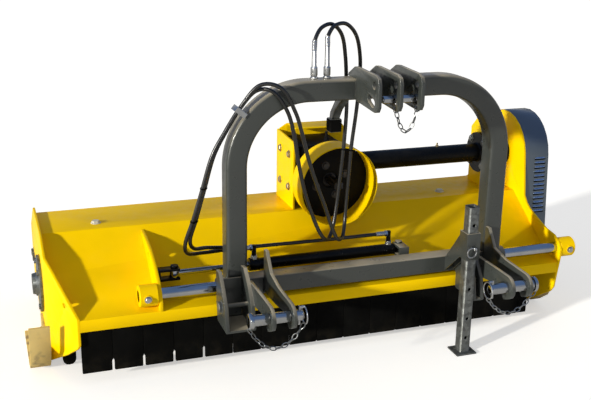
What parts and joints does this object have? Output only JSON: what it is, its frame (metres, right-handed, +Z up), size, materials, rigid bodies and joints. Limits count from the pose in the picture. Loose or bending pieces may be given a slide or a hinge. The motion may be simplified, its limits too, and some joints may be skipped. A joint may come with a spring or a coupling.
{
  "type": "side-shift flail mower",
  "caption": "Tractor-mounted flail mower: wide hooded deck with hanging rubber flaps, arched three-point headstock sliding on a bar, gearbox, side belt case and parking stand",
  "frame": {"origin": "centre of the footprint, on the ground under the machine as it stands on its skids", "axes": "+X to the machine's right along the deck and the rotor, +Y away from the tractor, +Z up"},
  "size_m": [2.0166, 1.1348, 1.1375],
  "materials": {
    "yellow_paint": "gloss yellow paint on steel sheet",
    "dark_paint": "satin dark grey paint",
    "black_paint": "gloss black paint",
    "skid_paint": "worn ochre primer, dull",
    "cover_paint": "gloss grey paint",
    "gearbox_cast": "cast iron with dark paint",
    "rotor_steel": "dull dark primer",
    "roller_paint": "dull black paint",
    "machined_steel": "turned and ground steel",
    "chrome_plate": "bright plated",
    "galvanised": "dull zinc coating",
    "bush_bronze": "plain bearing bronze",
    "black_rubber": "matt black rubber"
  },
  "bodies": {
    "mower": {"deck_hood": "yellow_paint", "left_end_plate": "yellow_paint", "right_end_plate": "yellow_paint", "left_skid": "skid_paint", "right_skid": "skid_paint", "flap_clamp_bar": "rotor_steel", "left_rotor_bearing": "galvanised", "right_rotor_bearing": "galvanised", "slide_bar": "chrome_plate", "left_bar_bracket": "yellow_paint", "left_bar_boss": "yellow_paint", "right_bar_boss": "yellow_paint", "cylinder_rod": "chrome_plate", "rod_fork": "dark_paint", "gearbox_casing": "gearbox_cast", "gearbox_side_bracket": "yellow_paint", "gearbox_rear_bracket": "yellow_paint", "input_bearing": "machined_steel", "cross_shaft_bearing": "machined_steel", "drive_tube": "black_paint", "tube_support": "yellow_paint", "pto_guard_ring": "yellow_paint", "drive_belt": "black_rubber", "belt_case_cover": "cover_paint"},
    "headstock": {"headstock_arch": "dark_paint", "slide_sleeve": "dark_paint", "left_slide_bush": "bush_bronze", "right_slide_bush": "bush_bronze", "left_top_plate": "dark_paint", "middle_top_plate": "dark_paint", "right_top_plate": "dark_paint", "shaft_holder": "dark_paint", "left_hitch_box": "dark_paint", "right_hitch_box": "dark_paint", "left_inner_hook": "dark_paint", "right_inner_hook": "dark_paint", "barrel_fork": "dark_paint", "cylinder_barrel": "black_paint", "stand_guide": "dark_paint", "coupling_a": "chrome_plate", "coupling_b": "chrome_plate", "hose_a": "black_rubber", "hose_b": "black_rubber", "hose_clamp": "rotor_steel"},
    "rotor": {"rotor_tube": "rotor_steel", "lower_pulley": "machined_steel"},
    "front_hammer_row": {"front_hammers": "rotor_steel"},
    "rear_hammer_row": {"rear_hammers": "rotor_steel"},
    "roller": {"rear_roller": "roller_paint"},
    "cross_drive": {"cross_shaft": "machined_steel", "upper_pulley": "machined_steel"},
    "input_drive": {"input_shaft": "machined_steel"},
    "flap_row": {"rubber_flaps": "black_rubber"},
    "stand": {"parking_stand": "galvanised"},
    "stand_lock": {"stand_lock_pin": "chrome_plate"},
    "left_link_pin": {"left_hitch_pin": "chrome_plate"},
    "left_lynch": {"left_lynch_pin": "chrome_plate"},
    "right_link_pin": {"right_hitch_pin": "chrome_plate"},
    "right_lynch": {"right_lynch_pin": "chrome_plate"},
    "top_pin": {"top_link_pin": "chrome_plate"}
  },
  "joints": [
    {"name": "side_shift", "type": "slide", "parent": "mower", "child": "headstock", "axis": [1, 0, 0], "range_m": [-0.15, 0.2]},
    {"name": "rotor_spin", "type": "hinge", "parent": "mower", "child": "rotor", "pos_m": [-0.054, 0.12742, 0.225], "axis": [1, 0, 0], "continuous": true},
    {"name": "front_hammer_swing", "type": "hinge", "parent": "rotor", "child": "front_hammer_row", "pos_m": [-0.054, 0.03042, 0.225], "axis": [1, 0, 0], "range_deg": [-90, 25]},
    {"name": "rear_hammer_swing", "type": "hinge", "parent": "rotor", "child": "rear_hammer_row", "pos_m": [-0.054, 0.22442, 0.225], "axis": [1, 0, 0], "range_deg": [-25, 90]},
    {"name": "roller_spin", "type": "hinge", "parent": "mower", "child": "roller", "pos_m": [-0.054, 0.48742, 0.08], "axis": [1, 0, 0], "continuous": true},
    {"name": "cross_shaft_spin", "type": "hinge", "parent": "mower", "child": "cross_drive", "pos_m": [-0.054, 0.19242, 0.557], "axis": [1, 0, 0], "continuous": true},
    {"name": "input_spin", "type": "hinge", "parent": "mower", "child": "input_drive", "pos_m": [0.07, -0.25258, 0.557], "axis": [0, 1, 0], "continuous": true},
    {"name": "flap_swing", "type": "hinge", "parent": "mower", "child": "flap_row", "pos_m": [-0.054, -0.23958, 0.191], "axis": [1, 0, 0], "range_deg": [-20, 25]},
    {"name": "stand_slide", "type": "slide", "parent": "headstock", "child": "stand", "axis": [0, 0, 1], "range_m": [0, 0.153]},
    {"name": "stand_lock_push", "type": "slide", "parent": "headstock", "child": "stand_lock", "axis": [0, 1, 0], "range_m": [0, 0.008]},
    {"name": "left_pin_slide", "type": "slide", "parent": "headstock", "child": "left_link_pin", "axis": [1, 0, 0], "range_m": [-0.012, 0.045]},
    {"name": "left_lynch_pull", "type": "slide", "parent": "left_link_pin", "child": "left_lynch", "axis": [0, 0, 1], "range_m": [0, 0.055]},
    {"name": "right_pin_slide", "type": "slide", "parent": "headstock", "child": "right_link_pin", "axis": [1, 0, 0], "range_m": [-0.012, 0.045]},
    {"name": "right_lynch_pull", "type": "slide", "parent": "right_link_pin", "child": "right_lynch", "axis": [0, 0, 1], "range_m": [0, 0.055]},
    {"name": "top_pin_pull", "type": "slide", "parent": "headstock", "child": "top_pin", "axis": [1, 0, 0], "range_m": [0, 0.165]}
  ],
  "couplings": [
    {"joint": "cross_shaft_spin", "follows": "rotor_spin", "ratio": 0.68},
    {"joint": "input_spin", "follows": "rotor_spin", "ratio": 0.30909}
  ]
}
